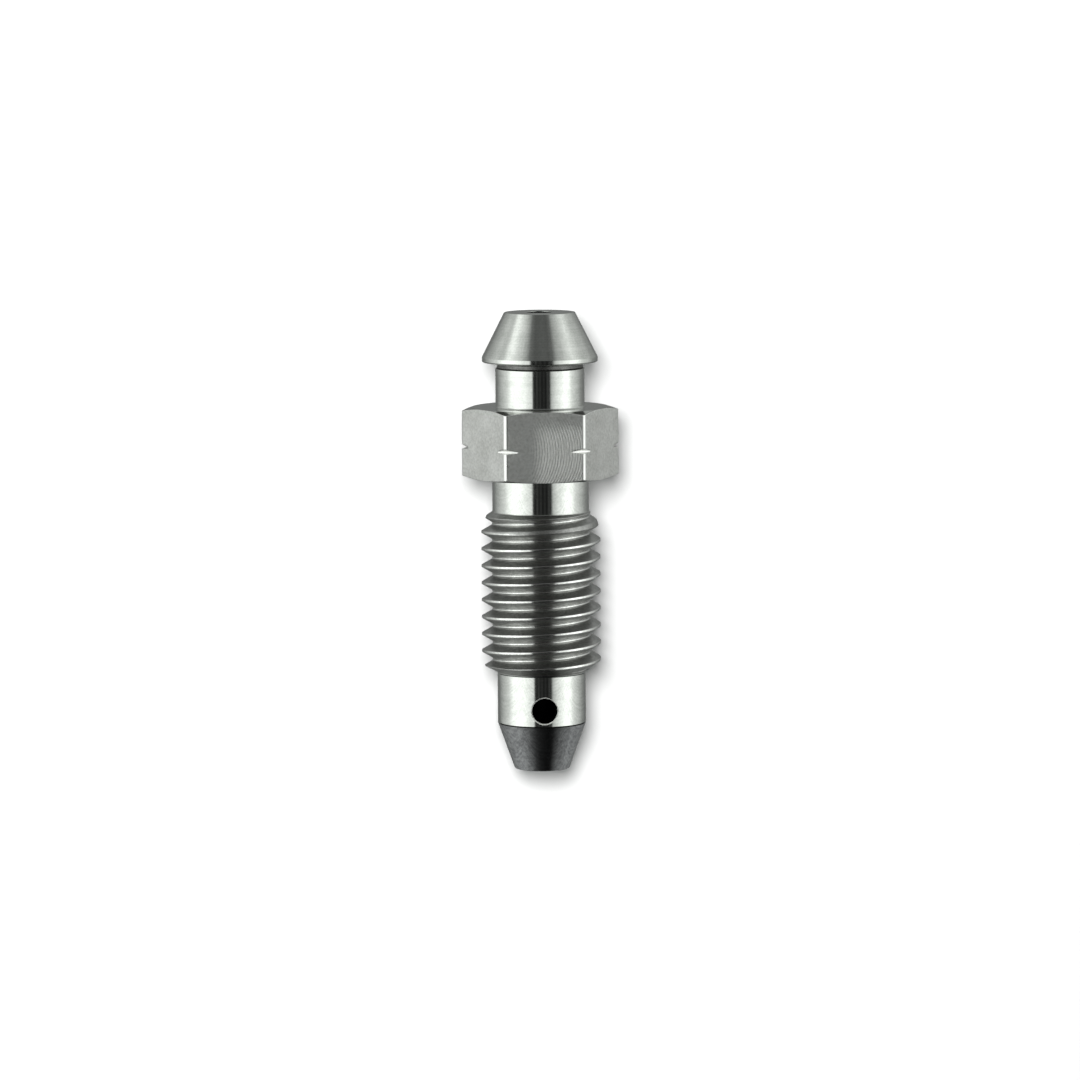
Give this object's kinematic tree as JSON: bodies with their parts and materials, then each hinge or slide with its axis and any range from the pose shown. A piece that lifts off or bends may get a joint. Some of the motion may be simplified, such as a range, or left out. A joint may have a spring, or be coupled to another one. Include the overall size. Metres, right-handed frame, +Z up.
{
  "type": "bleeder screw",
  "caption": "Turned bleeder screw: right-hand M7 x 1 thread below an 8 mm hexagon, coned hose end with a lip, sealing cone at the tip and a cross hole into an axial bore",
  "frame": {"origin": "On the surface that the screw lies on, below the middle of its bounding box", "axes": "+Z up. +Y towards the hose end, whose face is raised 2.8 degrees because the screw lies on the lower edge of its hexagon and on a thread crest. The cross hole and one flat of the hexagon face up"},
  "size_m": [0.0092, 0.027, 0.0082],
  "materials": {
    "turned_steel": "bright turned steel, milled flats, darker ground seat cone"
  },
  "bodies": {
    "root": {"bleeder_screw": "turned_steel"}
  },
  "joints": []
}
